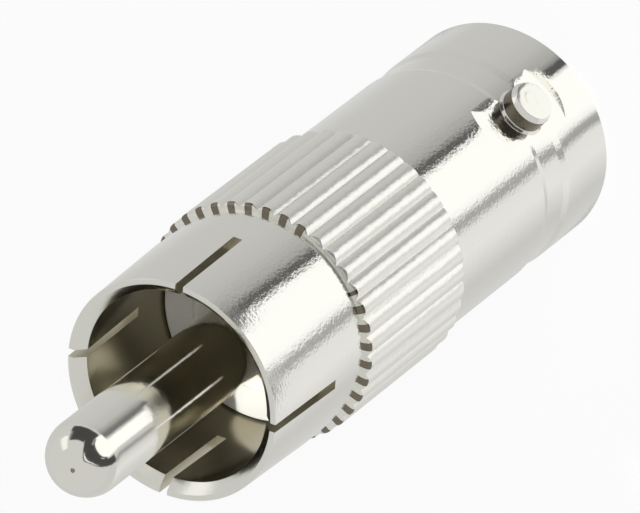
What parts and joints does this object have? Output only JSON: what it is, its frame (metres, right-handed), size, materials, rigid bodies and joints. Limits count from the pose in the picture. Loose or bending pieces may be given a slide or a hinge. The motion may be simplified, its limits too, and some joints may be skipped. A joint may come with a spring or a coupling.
{
  "type": "rca to bnc adapter",
  "caption": "Straight adapter with a slotted phono plug and round-tipped pin at one end, a knurled grip, and a bayonet-lugged BNC socket at the other.",
  "frame": {"origin": "centre of the ring-shaped mouth of the BNC socket, where the adapter's axis meets the surface that it stands on", "axes": "+Z along the axis from the BNC mouth to the tip of the phono pin; X through the two bayonet lugs"},
  "size_m": [0.011, 0.0102, 0.0333],
  "materials": {
    "nickel_plate": "bright nickel plate on turned brass, finely tool-marked",
    "pin_nickel": "bright polished nickel plate on brass",
    "cream_plastic": "cream moulded plastic",
    "white_plastic": "white moulded plastic",
    "gold_plate": "thin gold plate on spring brass"
  },
  "bodies": {
    "root": {"adapter_body": "nickel_plate", "phono_pin": "pin_nickel", "phono_insulator": "cream_plastic", "bnc_insulator": "white_plastic", "bnc_contact": "gold_plate"}
  },
  "joints": []
}
